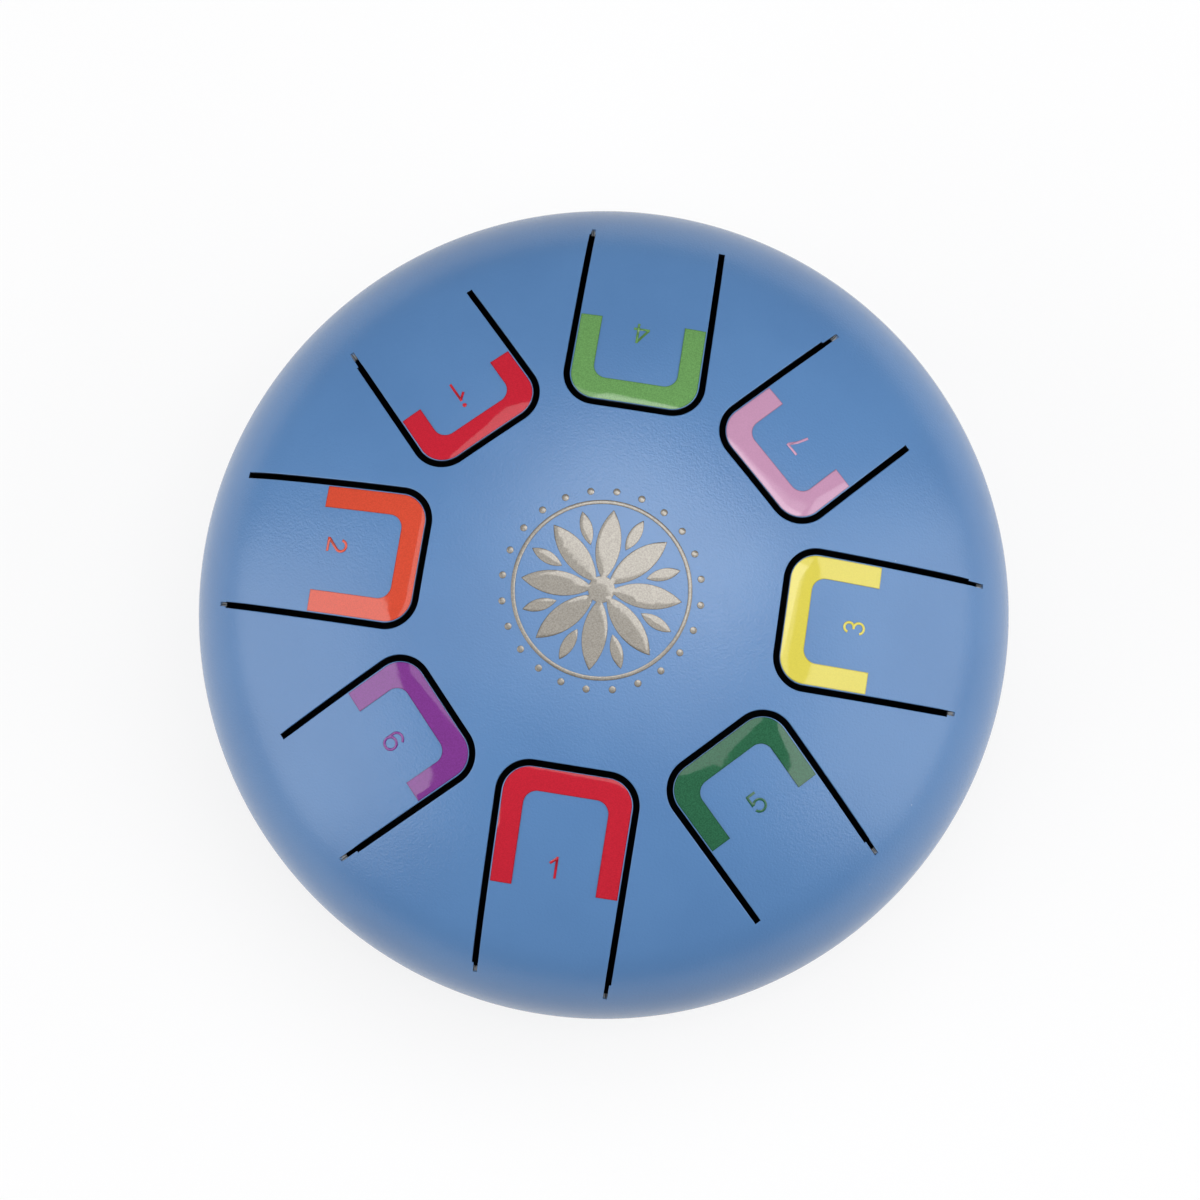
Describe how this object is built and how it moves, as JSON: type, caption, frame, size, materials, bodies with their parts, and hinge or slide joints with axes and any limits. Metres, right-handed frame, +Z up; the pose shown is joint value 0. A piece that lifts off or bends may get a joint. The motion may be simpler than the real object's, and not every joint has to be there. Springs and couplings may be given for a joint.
{
  "type": "steel tongue drum",
  "caption": "Small steel tongue drum: two welded pressed shells, flexing tongues with coloured bands and numbers, a sound port below and rubber feet.",
  "frame": {"origin": "on the floor below the middle of the drum", "axes": "+Z up along the drum's axis; the lowest note's tongue points along -Y; +X to the right of a player who faces +Y"},
  "size_m": [0.15, 0.15, 0.0831],
  "materials": {
    "blue_paint": "satin",
    "grey_foil": "satin",
    "red_film": "gloss",
    "orange_film": "gloss",
    "yellow_film": "gloss",
    "light_green_film": "gloss",
    "dark_green_film": "gloss",
    "purple_film": "gloss",
    "pink_film": "gloss",
    "black_rubber": "matte"
  },
  "bodies": {
    "drum": {"upper_shell": "blue_paint", "lower_shell": "blue_paint", "seam_weld": "blue_paint", "centre_rosette": "grey_foil", "foot_1": "black_rubber", "foot_2": "black_rubber", "foot_3": "black_rubber"},
    "note_1": {"tongue_1": "blue_paint", "band_1": "red_film", "number_1": "red_film"},
    "note_5": {"tongue_5": "blue_paint", "band_5": "dark_green_film", "number_5": "dark_green_film"},
    "note_3": {"tongue_3": "blue_paint", "band_3": "yellow_film", "number_3": "yellow_film"},
    "note_7": {"tongue_7": "blue_paint", "band_7": "pink_film", "number_7": "pink_film"},
    "note_4": {"tongue_4": "blue_paint", "band_4": "light_green_film", "number_4": "light_green_film"},
    "note_high_1": {"tongue_high_1": "blue_paint", "band_high_1": "red_film", "number_high_1": "red_film"},
    "note_2": {"tongue_2": "blue_paint", "band_2": "orange_film", "number_2": "orange_film"},
    "note_6": {"tongue_6": "blue_paint", "band_6": "purple_film", "number_6": "purple_film"}
  },
  "joints": [
    {"name": "tongue_1_flex", "type": "hinge", "parent": "drum", "child": "note_1", "pos_m": [-0.00049, -0.0655, 0.06377], "axis": [-1, 0.0035, 0], "range_deg": [-0.5, 0.5], "stiffness_Nm_per_rad": 55.8},
    {"name": "tongue_5_flex", "type": "hinge", "parent": "drum", "child": "note_5", "pos_m": [0.04306, -0.0426, 0.06721], "axis": [-0.7046, -0.7096, 0], "range_deg": [-0.5, 0.5], "stiffness_Nm_per_rad": 67.9},
    {"name": "tongue_3_flex", "type": "hinge", "parent": "drum", "child": "note_3", "pos_m": [0.06189, 0.00108, 0.06645], "axis": [0.0087, -1, 0], "range_deg": [-0.5, 0.5], "stiffness_Nm_per_rad": 63},
    {"name": "tongue_7_flex", "type": "hinge", "parent": "drum", "child": "note_7", "pos_m": [0.03988, 0.04189, 0.06864], "axis": [0.7349, -0.6782, 0], "range_deg": [-0.5, 0.5], "stiffness_Nm_per_rad": 77.1},
    {"name": "tongue_4_flex", "type": "hinge", "parent": "drum", "child": "note_4", "pos_m": [-0.00011, 0.06419, 0.06485], "axis": [1, 0, 0], "range_deg": [-0.5, 0.5], "stiffness_Nm_per_rad": 61.4},
    {"name": "tongue_high_1_flex", "type": "hinge", "parent": "drum", "child": "note_high_1", "pos_m": [-0.03962, 0.04155, 0.06885], "axis": [0.7325, 0.6807, 0], "range_deg": [-0.5, 0.5], "stiffness_Nm_per_rad": 79.7},
    {"name": "tongue_2_flex", "type": "hinge", "parent": "drum", "child": "note_2", "pos_m": [-0.06513, 0.00079, 0.06408], "axis": [0.0105, 0.9999, 0], "range_deg": [-0.5, 0.5], "stiffness_Nm_per_rad": 57.5},
    {"name": "tongue_6_flex", "type": "hinge", "parent": "drum", "child": "note_6", "pos_m": [-0.04283, -0.04065, 0.06801], "axis": [-0.673, 0.7396, 0], "range_deg": [-0.5, 0.5], "stiffness_Nm_per_rad": 73.9}
  ]
}
